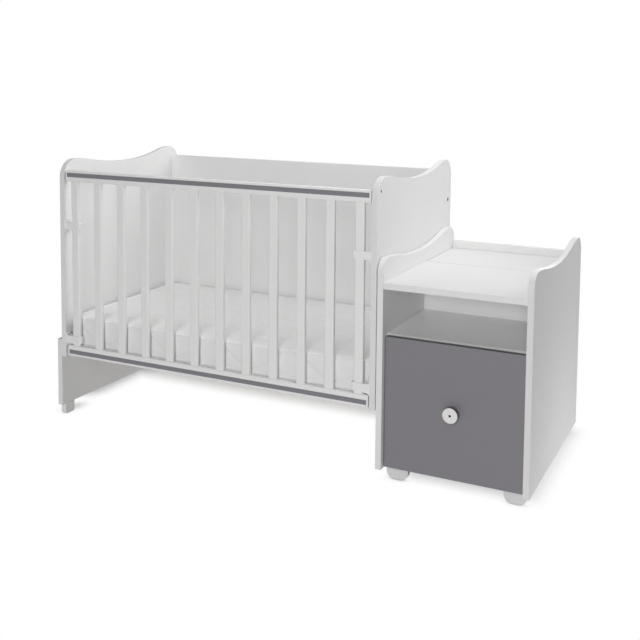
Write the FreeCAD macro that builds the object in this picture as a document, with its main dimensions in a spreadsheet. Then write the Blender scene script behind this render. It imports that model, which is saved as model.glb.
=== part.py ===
import FreeCAD, Part
import math
import os
from types import SimpleNamespace

import Sketcher
from FreeCAD import Placement, Rotation, Vector

# A cot for a baby that converts to a bed for a child: two wavy end panels, a fixed back panel and a slatted
# drop side stand on a plinth at the left and on a bedside cabinet with a drawer at the right.
# X runs along the cot, the front faces -Y, and the floor is at Z = 0 under the middle of the whole piece.

# Driving dimensions in millimetres. Heights are above the floor unless the comment says otherwise.
SIZES = {
    # Boards: melamine-faced chipboard with rounded edge banding
    "board": 18.0,
    "edge_round": 1.0,
    # Cot: length between the end panels, and the end panels' outline
    "cot_length": 1120.0,
    "panel_depth": 664.0,
    "panel_bottom": 209.0,
    "front_crest": 881.6,
    "panel_dip": 855.5,
    "rear_crest": 889.0,
    "front_corner": 60.0,
    "rear_corner": 56.0,
    "back_panel_top": 853.5,
    "back_inset": 22.0,
    "fixing_hole_height": 842.0,
    "fixing_hole_setback": 27.0,
    "fixing_hole_radius": 4.0,
    "fixing_hole_depth": 12.0,
    # Plinth under the left end, and the feet of plinth and cabinet
    "plinth_top": 267.0,
    "foot_height": 36.0,
    "foot_width": 66.0,
    "foot_corner": 26.0,
    "foot_shift": 4.5,
    "plinth_foot_width": 44.0,
    "plinth_foot_corner": 8.0,
    "plinth_foot_setback": 16.0,
    # Connecting bolts with recessed heads, and their cross-bored nuts
    "bolt_radius": 3.0,
    "bolt_head_radius": 6.5,
    "bolt_head_height": 4.0,
    "bolt_socket_radius": 3.2,
    "bolt_socket_depth": 3.0,
    "bolt_reach": 42.0,
    "short_bolt_reach": 12.0,
    "bolt_clearance": 0.15,
    "nut_radius": 5.0,
    "nut_height": 13.0,
    "nut_distance": 30.0,
    # Slatted base, the angle brackets that carry it, and the mattress
    "base_top": 245.0,
    "base_slat_width": 70.0,
    "base_slat_thickness": 9.0,
    "base_slat_end_gap": 12.0,
    "base_rail_width": 30.0,
    "base_rail_height": 24.0,
    "base_rail_inset": 36.0,
    "base_rail_end_gap": 4.0,
    "bracket_thickness": 2.0,
    "bracket_length": 40.0,
    "bracket_height": 38.0,
    "bracket_width": 62.0,
    "bracket_screw_spacing": 46.0,
    "mattress_end_gap": 4.0,
    "mattress_side_gap": 2.0,
    "mattress_height": 103.5,
    "mattress_crown": 4.0,
    "mattress_edge": 7.0,
    "mattress_corner": 30.0,
    "mattress_drawn_in": 2.0,
    "mattress_rest": 0.3,
    # Drop side: two rails with an inlaid strip each, and the slats between them
    "side_setback": 5.0,
    "rail_thickness": 18.0,
    "rail_height": 37.0,
    "rail_round": 3.0,
    "rail_top": 846.0,
    "rail_lift": 3.3,
    "top_rail_end_gap": 4.0,
    "bottom_rail_end_gap": 6.0,
    "strip_height": 14.4,
    "strip_thickness": 2.0,
    "strip_edge": 7.4,
    "strip_end": 5.0,
    "slat_width": 30.0,
    "slat_thickness": 14.0,
    "slat_round": 4.5,
    "slat_end_gap": 24.0,
    "slat_tenon": 12.0,
    "tenon_clearance": 0.1,
    # Guides of the drop side: moulded rings on the end panels that the end slats slide through
    "guide_upper_height": 645.4,
    "guide_lower_height": 258.0,
    "guide_ring_height": 24.0,
    "guide_wall": 2.7,
    "guide_nose": 6.5,
    "guide_round": 7.0,
    "guide_clearance": 0.3,
    "guide_flange": 3.0,
    "guide_flange_width": 22.0,
    "guide_flange_margin": 10.0,
    # Small screws of the guides and brackets
    "screw_radius": 1.75,
    "screw_head_radius": 3.5,
    "screw_head_height": 1.8,
    "screw_length": 13.0,
    "screw_clearance": 0.1,
    # Sprung catch pins under the lower guides
    "catch_radius": 3.5,
    "catch_drop": 3.0,
    "catch_boss_radius": 5.2,
    "catch_boss_length": 8.0,
    "catch_clearance": 0.05,
    "catch_tail": 2.0,
    "catch_tip_gap": 0.3,
    "catch_tip_round": 1.0,
    "catch_spring_length": 11.0,
    "catch_spring_wall": 0.9,
    "catch_spring_gap": 0.15,
    # Cabinet: its boards, and the side panels' outline
    "cabinet_gap": 2.0,
    "cabinet_width": 448.0,
    "cabinet_depth": 650.0,
    "cabinet_setback": 2.0,
    "cabinet_front_crest": 651.0,
    "cabinet_dip": 627.8,
    "cabinet_rear_crest": 659.6,
    "cabinet_front_corner": 41.4,
    "cabinet_rear_corner": 51.0,
    "cabinet_top": 584.0,
    "top_setback": 1.0,
    "top_seam": 362.0,
    "top_seam_gap": 1.2,
    "upstand_top": 609.0,
    "shelf_top": 431.0,
    "cap_radius": 5.0,
    "cap_depth": 6.0,
    "cap_clearance": 0.3,
    "cap_height": 251.0,
    "cap_setback": 124.0,
    # Drawer with an inset front, grooved sides and plastic runner strips
    "drawer_recess": 17.0,
    "drawer_gap": 3.0,
    "drawer_front_bottom": 41.0,
    "drawer_front_top": 426.0,
    "drawer_back_gap": 1.0,
    "drawer_side_gap": 6.0,
    "drawer_side_thickness": 14.0,
    "drawer_side_bottom": 73.0,
    "drawer_side_height": 180.0,
    "drawer_box_length": 290.0,
    "drawer_back_thickness": 12.0,
    "drawer_floor_lift": 10.0,
    "drawer_floor_thickness": 4.0,
    "drawer_floor_groove": 5.0,
    "drawer_floor_clearance": 0.2,
    "runner_height": 16.0,
    "runner_groove": 7.0,
    "runner_clearance": 0.3,
    "runner_tip_gap": 1.0,
    "runner_end_gap": 3.0,
    "runner_peg_radius": 2.5,
    "runner_peg_length": 10.0,
    "knob_radius": 22.5,
    "knob_height": 24.0,
    "knob_head": 11.0,
    "knob_round": 3.0,
    "knob_neck_radius": 11.0,
    "knob_recess_radius": 3.8,
    "knob_recess_depth": 3.0,
    "knob_screw_length": 32.0,
    # One overrun for every cut that has to break through a face
    "overrun": 1.0,
}

SLATS = 12
BASE_SLATS = 9
# Where along its depth a panel's edge dips, and how far along its front and rear wave hump turns to hollow
COT_WAVE_SHARES = (0.525, 0.271, 0.755)
CABINET_WAVE_SHARES = (0.487, 0.334, 0.774)
# Fixing points as shares of the piece that they go through
BACK_BOLT_SHARES = (0.16, 0.84)
PLINTH_BOLT_SHARES = (0.16, 0.84)
CABINET_BOLT_DEPTH_SHARES = (0.17, 0.75)
CABINET_BOLT_HEIGHT_SHARES = (0.46, 0.60)
RUNNER_PEG_SHARES = (0.15, 0.85)
# The mattress in layers: how much of the edge radius is cut off the outline, and of it that is climbed
MATTRESS_EDGE_SHARES = ((1.0, 0.0), (0.3, 0.3), (0.0, 1.0))
# The crown: how far in from the edge, as a share of the width, and how much of the crown is reached
MATTRESS_CROWN_SHARES = ((0.12, 0.55), (0.30, 1.0))


class Size:
    """A length: its value now, and the sheet's formula that gives it."""

    def __init__(self, formula, value):
        self.formula = formula
        self.value = value

    def combined(self, sign, other, swap=False):
        if not isinstance(other, Size):
            other = Size(repr(other), other)
        first, second = (other, self) if swap else (self, other)
        value = {
            "+": lambda: first.value + second.value,
            "-": lambda: first.value - second.value,
            "*": lambda: first.value * second.value,
            "/": lambda: first.value / second.value,
        }[sign]()
        return Size(f"({first.formula} {sign} {second.formula})", value)

    def __add__(self, other):
        return self.combined("+", other)

    def __sub__(self, other):
        return self.combined("-", other)

    def __mul__(self, other):
        return self.combined("*", other)

    def __rmul__(self, other):
        return self.combined("*", other, swap=True)

    def __truediv__(self, other):
        return self.combined("/", other)

    def __neg__(self):
        return self.combined("-", ZERO, swap=True)


ZERO = Size("0", 0.0)

doc = FreeCAD.newDocument("ConvertibleCrib")
sheet = doc.addObject("Spreadsheet::Sheet", "Sizes")
for row, (alias, number) in enumerate(SIZES.items(), start=1):
    sheet.set(f"A{row}", alias)
    sheet.set(f"B{row}", str(number))
    sheet.setAlias(f"B{row}", alias)
doc.recompute()
s = SimpleNamespace(**{alias: Size(f"Sizes.{alias}", number) for alias, number in SIZES.items()})

nodes = []


def node(label, thing):
    """Names a finished sub-part."""
    thing.Label = label
    nodes.append(thing)
    return thing


def bind(thing, name, size):
    thing.setExpression(name, size.formula)


def move(thing, x, y, z):
    for axis, size in zip("xyz", (x, y, z)):
        bind(thing, f"Placement.Base.{axis}", size)
    return thing


def block(name, x, y, z):
    """A square-edged block between the given low and high faces."""
    box = doc.addObject("Part::Box", name)
    for side, (low, high) in zip(("Length", "Width", "Height"), (x, y, z)):
        bind(box, side, high - low)
    return move(box, x[0], y[0], z[0])


TURNS = {
    "+X": Rotation(Vector(0, 1, 0), 90),
    "-X": Rotation(Vector(0, 1, 0), -90),
    "+Y": Rotation(Vector(1, 0, 0), -90),
    "-Y": Rotation(Vector(1, 0, 0), 90),
    "+Z": Rotation(),
}


def rod(name, start, way, radius, length):
    """A round bar or bore that runs the given way from its start."""
    bar = doc.addObject("Part::Cylinder", name)
    bind(bar, "Radius", radius)
    bind(bar, "Height", length)
    bar.Placement = Placement(Vector(), TURNS[way])
    return move(bar, *start)


def along(start, way, distance):
    """The point that lies a distance from the start, the given way."""
    point = list(start)
    axis = "XYZ".index(way[1])
    point[axis] = start[axis] + distance if way[0] == "+" else start[axis] - distance
    return tuple(point)


def joined(name, pieces):
    whole = doc.addObject("Part::MultiFuse", name)
    whole.Shapes = pieces
    return whole


def cut(name, base, tools):
    taken = doc.addObject("Part::Compound", f"{name}_cuts")
    taken.Links = tools
    result = doc.addObject("Part::Cut", f"{name}_cut")
    result.Base = base
    result.Tool = taken
    return result


def group(label, pieces):
    """Like pieces that share one node as separate solids."""
    together = doc.addObject("Part::Compound", f"{label}_group")
    together.Links = pieces
    return node(label, together)


def sketch_on(body, plane):
    sketch = body.newObject("Sketcher::SketchObject", f"{body.Name}_outline")
    support = next(item for item in body.Origin.OriginFeatures if item.Role == plane)
    sketch.AttachmentSupport = [(support, "")]
    sketch.MapMode = "FlatFace"
    return sketch


def trace(sketch, steps):
    """Draws a closed outline. A step is the point that a straight run ends at, or that point followed by
    an arc's radius and the way that the arc turns, left or right."""
    offset = sketch.GeometryCount
    ends = []
    for number, step in enumerate(steps):
        before = steps[number - 1]
        start = Vector(before[0].value, before[1].value, 0)
        end = Vector(step[0].value, step[1].value, 0)
        if len(step) == 2:
            sketch.addGeometry(Part.LineSegment(start, end))
            ends.append((1, 2))
            continue
        radius = step[2].value
        chord = end - start
        left = Vector(-chord.y, chord.x, 0).normalize()
        rise = math.sqrt(max(0, radius**2 - (chord.Length / 2) ** 2))
        turn = 1 if step[3] == "left" else -1
        centre = (start + end) / 2 + left * rise * turn
        first, last = (start, end) if turn > 0 else (end, start)
        angles = [math.atan2(point.y - centre.y, point.x - centre.x) for point in (first, last)]
        sketch.addGeometry(Part.ArcOfCircle(Part.Circle(centre, Vector(0, 0, 1), radius), *angles))
        ends.append((1, 2) if turn > 0 else (2, 1))
    for number, step in enumerate(steps):
        edge = offset + number
        following = offset + (number + 1) % len(steps)
        finish = ends[number][1]
        begin = ends[(number + 1) % len(steps)][0]
        sketch.addConstraint(Sketcher.Constraint("Coincident", edge, finish, following, begin))
        for kind, size, axis in (("DistanceX", step[0], -2), ("DistanceY", step[1], -1)):
            if size is ZERO:
                sketch.addConstraint(Sketcher.Constraint("PointOnObject", edge, finish, axis))
                continue
            place = sketch.addConstraint(Sketcher.Constraint(kind, edge, finish, size.value))
            bind(sketch, f"Constraints[{place}]", size)
        if len(step) > 2:
            place = sketch.addConstraint(Sketcher.Constraint("Radius", edge, step[2].value))
            bind(sketch, f"Constraints[{place}]", step[2])


def oblong(width, height):
    return [(width, ZERO), (width, height), (ZERO, height), (ZERO, ZERO)]


def rounded_oblong(width, height, radius):
    return [
        (width - radius, ZERO),
        (width, radius, radius, "left"),
        (width, height - radius),
        (width - radius, height, radius, "left"),
        (radius, height),
        (ZERO, height - radius, radius, "left"),
        (ZERO, radius),
        (radius, ZERO, radius, "left"),
    ]


def padded(name, plane, steps, length, holes=()):
    """A body: one outline, with any holes through it, padded to a length."""
    body = doc.addObject("PartDesign::Body", f"{name}_body")
    sketch = sketch_on(body, plane)
    trace(sketch, steps)
    for hole in holes:
        trace(sketch, hole)
    pad = body.newObject("PartDesign::Pad", f"{name}_pad")
    pad.Profile = sketch
    bind(pad, "Length", length)
    return body


def ease_edges(body, radius):
    """Rounds every sharp edge of a body."""
    doc.recompute()
    fillet = body.newObject("PartDesign::Fillet", f"{body.Name}_edges")
    fillet.Base = (body.Group[-2], ["Face1"])
    fillet.UseAllEdges = True
    bind(fillet, "Radius", radius)
    return body


def board(name, x, y, z):
    """A board with eased edges between the given low and high faces."""
    body = padded(name, "XY_Plane", oblong(x[1] - x[0], y[1] - y[0]), z[1] - z[0])
    ease_edges(body, s.edge_round)
    return move(body, x[0], y[0], z[0])


def wavy_panel(name, x, y, bottom, depth, front, dip, rear, front_corner, rear_corner, shares):
    """An upright panel whose top edge swells from a front crest through a dip to a rear crest.
    Each swell is two tangent arcs that meet at a share of the straight line between its ends."""
    dip_share, front_share, rear_share = shares
    hollow = dip_share * depth
    rear_start = depth - rear_corner

    def wave(start, end, low, high):
        run = end - start
        return (run * run + (high - low) * (high - low)) / (2 * (high - low))

    falling = wave(front_corner, hollow, dip, front)
    rising = wave(hollow, rear_start, dip, rear)
    steps = [
        (depth, ZERO),
        (depth, rear - rear_corner - bottom),
        (rear_start, rear - bottom, rear_corner, "left"),
        (
            hollow + rear_share * (rear_start - hollow),
            dip + rear_share * (rear - dip) - bottom,
            (1 - rear_share) * rising,
            "left",
        ),
        (hollow, dip - bottom, rear_share * rising, "right"),
        (
            front_corner + front_share * (hollow - front_corner),
            front - front_share * (front - dip) - bottom,
            (1 - front_share) * falling,
            "right",
        ),
        (front_corner, front - bottom, front_share * falling, "left"),
        (ZERO, front - front_corner - bottom, front_corner, "left"),
        (ZERO, ZERO),
    ]
    body = padded(name, "YZ_Plane", steps, s.board)
    ease_edges(body, s.edge_round)
    return move(body, x, y, bottom)


def bolt(name, start, way, reach):
    """A connecting bolt: a round head with a hex socket, sunk flush at the start, and a plain shank."""
    head = rod(f"{name}_head", start, way, s.bolt_head_radius, s.bolt_head_height)
    shank = rod(f"{name}_shank", start, way, s.bolt_radius, s.board + reach)
    socket = doc.addObject("Part::Prism", f"{name}_socket")
    bind(socket, "Circumradius", s.bolt_socket_radius)
    bind(socket, "Height", s.bolt_socket_depth)
    socket.Placement = Placement(Vector(), TURNS[way])
    move(socket, *start)
    return cut(name, joined(f"{name}_whole", [head, shank]), [socket])


def bolt_bore(name, start, way, length, head=True):
    """The clearance bore of such a bolt, with the recess for its head where the bore starts."""
    bore = rod(f"{name}_bore", start, way, s.bolt_radius + s.bolt_clearance, length)
    if not head:
        return bore
    recess_radius = s.bolt_head_radius + s.bolt_clearance
    recess = rod(f"{name}_recess", start, way, recess_radius, s.bolt_head_height)
    return joined(f"{name}_bores", [bore, recess])


def screw(name, start, way, length):
    """A small pan-head screw whose head stands on the face at the start."""
    back = {"+": "-", "-": "+"}[way[0]] + way[1]
    head = rod(f"{name}_head", start, back, s.screw_head_radius, s.screw_head_height)
    shank = rod(f"{name}_shank", start, way, s.screw_radius, length)
    return joined(name, [head, shank])


def screw_bore(name, start, way, length):
    return rod(name, start, way, s.screw_radius + s.screw_clearance, length)


# Where things stand
overall_length = 3 * s.board + s.cot_length + s.cabinet_gap + s.cabinet_width
x_plinth = -overall_length / 2
x_left = x_plinth + s.board
x_cot = x_left + s.board
x_far = x_cot + s.cot_length
x_right = x_far + s.board
x_cabinet = x_right + s.cabinet_gap
x_end = x_cabinet + s.cabinet_width
knob_proud = s.knob_height - s.cabinet_setback - s.drawer_recess
y_front = (knob_proud - s.panel_depth) / 2
y_back = y_front + s.panel_depth
y_side = y_front + s.side_setback
y_mid = y_side + s.rail_thickness / 2
y_wall = y_back - s.back_inset - s.board
y_wall_mid = y_wall + s.board / 2
INWARD = ("+X", "-X")
OUTWARD = ("-X", "+X")
inner_faces = (x_cot, x_far)
outer_faces = (x_left, x_right)

# Fixing places that two pieces share
back_bolt_heights = [
    s.panel_bottom + share * (s.back_panel_top - s.panel_bottom) for share in BACK_BOLT_SHARES
]
plinth_bolt_height = (s.panel_bottom + s.plinth_top) / 2
plinth_bolt_places = [y_front + share * s.panel_depth for share in PLINTH_BOLT_SHARES]
cabinet_bolt_places = [
    (y_front + depth_share * s.panel_depth, height_share * s.cabinet_front_crest)
    for depth_share in CABINET_BOLT_DEPTH_SHARES
    for height_share in CABINET_BOLT_HEIGHT_SHARES
]
rail_mids = (
    y_side + s.rail_thickness + s.base_rail_inset,
    y_wall - s.base_rail_inset,
)
bracket_low = s.base_top - s.base_slat_thickness - s.base_rail_height - s.bracket_thickness
bracket_screw_height = bracket_low + 3 * s.bracket_height / 4
bracket_screw_places = [
    mid + side * s.bracket_screw_spacing / 2 for mid in rail_mids for side in (-1, 1)
]
guide_heights = (s.guide_lower_height, s.guide_upper_height)
catch_height = s.guide_lower_height - s.catch_drop


def guide_screw_heights(height):
    """Two screws hold a guide's flange: above its ring, and below it where no catch pin is in the way."""
    above = height + s.guide_ring_height + s.guide_flange_margin / 2
    if height is s.guide_lower_height:
        return [above]
    return [height - s.guide_flange_margin / 2, above]


# End panels: the same wavy board at both ends, bored for all that is fixed to it
for name, side in (("left_end_panel", 0), ("right_end_panel", 1)):
    face = inner_faces[side]
    outer = outer_faces[side]
    blank = wavy_panel(
        name, outer if side == 0 else face, y_front, s.panel_bottom, s.panel_depth,
        s.front_crest, s.panel_dip, s.rear_crest, s.front_corner, s.rear_corner, COT_WAVE_SHARES,
    )
    inward = INWARD[side]
    outward = OUTWARD[side]
    bores = [
        bolt_bore(f"{name}_{number}", (outer, y_wall_mid, height), inward, s.board + s.overrun)
        for number, height in enumerate(back_bolt_heights)
    ]
    bores.append(
        rod(f"{name}_fixing", (outer, y_front + s.fixing_hole_setback, s.fixing_hole_height), inward,
            s.fixing_hole_radius, s.fixing_hole_depth)
    )
    for number, place in enumerate(bracket_screw_places):
        spot = (face, place, bracket_screw_height)
        bores.append(screw_bore(f"{name}_bracket_{number}", spot, outward, s.screw_length))
    for height in guide_heights:
        for number, place in enumerate(guide_screw_heights(height)):
            bores.append(
                screw_bore(f"{name}_guide_{number}", (face, y_mid, place), outward, s.screw_length)
            )
    spring_bore = s.catch_radius + s.catch_clearance
    bores.append(
        rod(f"{name}_catch", (face, y_mid, catch_height), outward, spring_bore, s.catch_spring_length)
    )
    if side == 0:
        places = [(place, plinth_bolt_height) for place in plinth_bolt_places]
    else:
        places = cabinet_bolt_places
    for number, (place, height) in enumerate(places):
        spot = (outer, place, height)
        bores.append(bolt_bore(f"{name}_joint_{number}", spot, inward, s.short_bolt_reach, head=False))
    node(name, cut(name, blank, bores))

# Back panel, between the end panels, with a bore and a cross-bored nut for each connecting bolt
blank = board("back_panel", (x_cot, x_far), (y_wall, y_wall + s.board), (s.panel_bottom, s.back_panel_top))
bores = []
bolts = []
nuts = []
for side in (0, 1):
    for number, height in enumerate(back_bolt_heights):
        tag = f"back_{side}_{number}"
        inward = INWARD[side]
        start = (outer_faces[side], y_wall_mid, height)
        seat = (inner_faces[side], y_wall_mid, height)
        middle = along(seat, inward, s.nut_distance)
        nut_start = (middle[0], y_wall - s.overrun, height)
        nut_bore = rod(f"{tag}_nut_bore", nut_start, "+Y", s.nut_radius + s.bolt_clearance,
                       s.overrun + s.nut_height)
        shank_bore = bolt_bore(f"{tag}_shank", seat, inward, s.bolt_reach + s.bolt_clearance, head=False)
        bores.append(joined(f"{tag}_bores", [nut_bore, shank_bore]))
        bolts.append(bolt(f"{tag}_bolt", start, inward, s.bolt_reach))
        nut = rod(f"{tag}_nut", (middle[0], y_wall, height), "+Y", s.nut_radius, s.nut_height)
        passage = bolt_bore(f"{tag}_passage", seat, inward, s.bolt_reach, head=False)
        nuts.append(cut(f"{tag}_nut", nut, [passage]))
node("back_panel", cut("back_panel", blank, bores))
group("back_panel_bolts", bolts)
group("barrel_nuts", nuts)

# Plinth: the low board outside the left end panel that carries it
blank = board("left_plinth", (x_plinth, x_left), (y_front, y_back), (s.foot_height, s.plinth_top))
bores = []
bolts = []
for number, place in enumerate(plinth_bolt_places):
    start = (x_plinth, place, plinth_bolt_height)
    bores.append(bolt_bore(f"plinth_{number}", start, "+X", s.board + s.overrun))
    bolts.append(bolt(f"plinth_bolt_{number}", start, "+X", s.short_bolt_reach))
node("left_plinth", cut("left_plinth", blank, bores))
group("plinth_bolts", bolts)


def foot(name, plane, x, y, width, corner):
    """A foot cut from board: flat on top, with rounded lower corners."""
    steps = [
        (width - corner, ZERO),
        (width, corner, corner, "left"),
        (width, s.foot_height),
        (ZERO, s.foot_height),
        (ZERO, corner),
        (corner, ZERO, corner, "left"),
    ]
    return move(padded(name, plane, steps, s.board), x, y, ZERO)


group("plinth_feet", [
    foot(f"plinth_foot_{number}", "YZ_Plane", x_plinth, place, s.plinth_foot_width, s.plinth_foot_corner)
    for number, place in enumerate((
        y_front + s.plinth_foot_setback, y_back - s.plinth_foot_setback - s.plinth_foot_width,
    ))
])

# Slatted base on two rails, each on a pair of angle brackets
base_slat_bottom = s.base_top - s.base_slat_thickness
rail_bottom = base_slat_bottom - s.base_rail_height
for label, mid in zip(("base_front_rail", "base_rear_rail"), rail_mids):
    node(label, block(
        label, (x_cot + s.base_rail_end_gap, x_far - s.base_rail_end_gap),
        (mid - s.base_rail_width / 2, mid + s.base_rail_width / 2), (rail_bottom, base_slat_bottom),
    ))
base_slat_pitch = (s.cot_length - 2 * s.base_slat_end_gap - s.base_slat_width) / (BASE_SLATS - 1)
base_slats = []
for number in range(BASE_SLATS):
    start = x_cot + s.base_slat_end_gap + number * base_slat_pitch
    base_slats.append(block(
        f"base_slat_{number}", (start, start + s.base_slat_width),
        (rail_mids[0] - s.base_rail_width, rail_mids[1] + s.base_rail_width), (base_slat_bottom, s.base_top),
    ))
group("base_slats", base_slats)
brackets = []
screws = []
for side, face in enumerate(inner_faces):
    inward = INWARD[side]
    for number, mid in enumerate(rail_mids):
        tag = f"bracket_{side}_{number}"
        inner = along((face,), inward, s.bracket_thickness)[0]
        tip = along((face,), inward, s.bracket_length)[0]
        low, high = (mid - s.bracket_width / 2, mid + s.bracket_width / 2)
        leg_x = (face, inner) if side == 0 else (inner, face)
        shelf_x = (face, tip) if side == 0 else (tip, face)
        leg = block(f"{tag}_leg", leg_x, (low, high), (bracket_low, bracket_low + s.bracket_height))
        shelf_y = (mid - s.base_rail_width / 2, mid + s.base_rail_width / 2)
        ledge = block(f"{tag}_ledge", shelf_x, shelf_y, (bracket_low, rail_bottom))
        bores = []
        for place in (mid - s.bracket_screw_spacing / 2, mid + s.bracket_screw_spacing / 2):
            spot = (face, place, bracket_screw_height)
            bores.append(screw_bore(f"{tag}_bore", spot, inward, s.bracket_thickness + s.overrun))
            seat = along(spot, inward, s.bracket_thickness)
            screws.append(screw(f"{tag}_screw", seat, OUTWARD[side], s.screw_length))
        brackets.append(cut(tag, joined(f"{tag}_angle", [leg, ledge]), bores))
group("base_brackets", brackets)
group("bracket_screws", screws)


# Mattress: a foam block in a sewn cover, crowned on top, with soft edges and sides that draw in
mattress_length = s.cot_length - 2 * s.mattress_end_gap
mattress_width = y_wall - y_side - s.rail_thickness - 2 * s.mattress_side_gap


def mattress_layer(inset, height):
    """One level outline of the mattress: sides that draw in between rounded corners."""
    long_half = mattress_length.value / 2 - inset
    short_half = mattress_width.value / 2 - inset
    corner = s.mattress_corner.value
    drawn_in = s.mattress_drawn_in.value
    bend = corner * (1 - math.sqrt(0.5))
    edges = []
    for turn, (reach, spread) in enumerate(((long_half, short_half), (short_half, long_half)) * 2):
        straight = (Vector(reach, corner - spread, height), Vector(reach - drawn_in, 0, height),
                    Vector(reach, spread - corner, height))
        rounding = (Vector(reach, spread - corner, height), Vector(reach - bend, spread - bend, height),
                    Vector(reach - corner, spread, height))
        for points in (straight, rounding):
            arc = Part.Arc(*points).toShape()
            arc.rotate(Vector(), Vector(0, 0, 1), 90 * turn)
            edges.append(arc)
    return Part.Wire(edges)


edge = s.mattress_edge.value
top = s.mattress_height.value
layers = [(in_share * edge, up_share * edge) for in_share, up_share in MATTRESS_EDGE_SHARES]
layers += [(in_share * edge, top - up_share * edge) for in_share, up_share in reversed(MATTRESS_EDGE_SHARES)]
layers += [
    (in_share * mattress_width.value, top + up_share * s.mattress_crown.value)
    for in_share, up_share in MATTRESS_CROWN_SHARES
]
mattress = doc.addObject("Part::Feature", "mattress_cushion")
mattress.Shape = Part.makeLoft([mattress_layer(inset, height) for inset, height in layers], True, True)
move(mattress, (x_cot + x_far) / 2, (y_side + s.rail_thickness + y_wall) / 2, s.base_top + s.mattress_rest)
node("mattress", mattress)

# Drop side: rails with an inlaid strip along the face, mortised for the slats
slat_faces = (y_mid - s.slat_thickness / 2, y_mid + s.slat_thickness / 2)
bottom_rail_low = s.panel_bottom + s.rail_lift
bottom_rail_high = bottom_rail_low + s.rail_height
top_rail_low = s.rail_top - s.rail_height
slat_low = bottom_rail_high - s.slat_tenon
slat_high = top_rail_low + s.slat_tenon
slat_pitch = (s.cot_length - 2 * s.slat_end_gap - s.slat_width) / (SLATS - 1)
slat_starts = [x_cot + s.slat_end_gap + number * slat_pitch for number in range(SLATS)]
for label, strip_label, low, end_gap, strip_low, mortise in (
    ("drop_top_rail", "top_strip", top_rail_low, s.top_rail_end_gap,
     s.rail_top - s.strip_edge - s.strip_height, (top_rail_low - s.overrun, slat_high + s.tenon_clearance)),
    ("drop_bottom_rail", "bottom_strip", bottom_rail_low, s.bottom_rail_end_gap,
     bottom_rail_low + s.strip_edge, (slat_low - s.tenon_clearance, bottom_rail_high + s.overrun)),
):
    rail_x = (x_cot + end_gap, x_far - end_gap)
    profile = rounded_oblong(s.rail_thickness, s.rail_height, s.rail_round)
    rail = move(padded(label, "YZ_Plane", profile, rail_x[1] - rail_x[0]), rail_x[0], y_side, low)
    strip_x = (rail_x[0] + s.strip_end, rail_x[1] - s.strip_end)
    strip_z = (strip_low, strip_low + s.strip_height)
    groove = block(f"{label}_groove", strip_x, (y_side - s.overrun, y_side + s.strip_thickness), strip_z)
    mortises = [
        block(
            f"{label}_mortise", (start - s.tenon_clearance, start + s.slat_width + s.tenon_clearance),
            (slat_faces[0] - s.tenon_clearance, slat_faces[1] + s.tenon_clearance), mortise,
        )
        for start in slat_starts
    ]
    node(label, cut(label, rail, [groove] + mortises))
    node(strip_label, block(strip_label, strip_x, (y_side, y_side + s.strip_thickness), strip_z))

for number, start in enumerate(slat_starts, start=1):
    label = f"slat_{number:02d}"
    profile = rounded_oblong(s.slat_width, s.slat_thickness, s.slat_round)
    slat = padded(label, "XY_Plane", profile, slat_high - slat_low)
    node(label, move(slat, start, slat_faces[0], slat_low))


# Guides: a flange on the end panel and a ring round the end slat, the same piece turned about for the right
def guide(label, side, height):
    turn = Rotation(Vector(0, 0, 1), 180 * side)
    slot_half = s.slat_thickness / 2 + s.guide_clearance
    ring_half = slot_half + s.guide_wall
    slot_end = s.slat_end_gap + s.slat_width + s.guide_clearance
    ring_end = slot_end + s.guide_nose
    ring_steps = [
        (ring_end - s.guide_round, -ring_half),
        (ring_end, s.guide_round - ring_half, s.guide_round, "left"),
        (ring_end, ring_half - s.guide_round),
        (ring_end - s.guide_round, ring_half, s.guide_round, "left"),
        (ZERO, ring_half),
        (ZERO, -ring_half),
    ]
    slot_steps = [
        (slot_end, -slot_half),
        (slot_end, slot_half),
        (s.guide_flange, slot_half),
        (s.guide_flange, -slot_half),
    ]
    ring = padded(label, "XY_Plane", ring_steps, s.guide_ring_height, [slot_steps])
    flange_z = (-s.guide_flange_margin, s.guide_ring_height + s.guide_flange_margin)
    flange_half = s.guide_flange_width / 2
    pieces = [ring, block(f"{label}_flange", (ZERO, s.guide_flange), (-flange_half, flange_half), flange_z)]
    bores = [
        screw_bore(f"{label}_bore", (-s.overrun, ZERO, place - height), "+X", s.guide_flange + 2 * s.overrun)
        for place in guide_screw_heights(height)
    ]
    if height is s.guide_lower_height:
        boss_length = s.guide_flange + s.catch_boss_length
        axis = (ZERO, ZERO, -s.catch_drop)
        pieces.append(rod(f"{label}_boss", axis, "+X", s.catch_boss_radius, boss_length))
        pin_bore = s.catch_radius + s.catch_clearance
        behind = (-s.overrun, ZERO, -s.catch_drop)
        bores.append(rod(f"{label}_pin_bore", behind, "+X", pin_bore, boss_length + 2 * s.overrun))
    whole = cut(label, joined(f"{label}_whole", pieces), bores)
    whole.Placement = Placement(Vector(), turn)
    move(whole, inner_faces[side], y_mid, height)
    return node(label, whole)


screws = []
for level, height in zip(("lower", "upper"), guide_heights):
    for side, hand in enumerate(("left", "right")):
        label = f"{level}_{hand}_guide"
        guide(label, side, height)
        for place in guide_screw_heights(height):
            seat = along((inner_faces[side], y_mid, place), INWARD[side], s.guide_flange)
            screws.append(screw(f"{label}_screw", seat, OUTWARD[side], s.screw_length))
group("guide_screws", screws)

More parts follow.
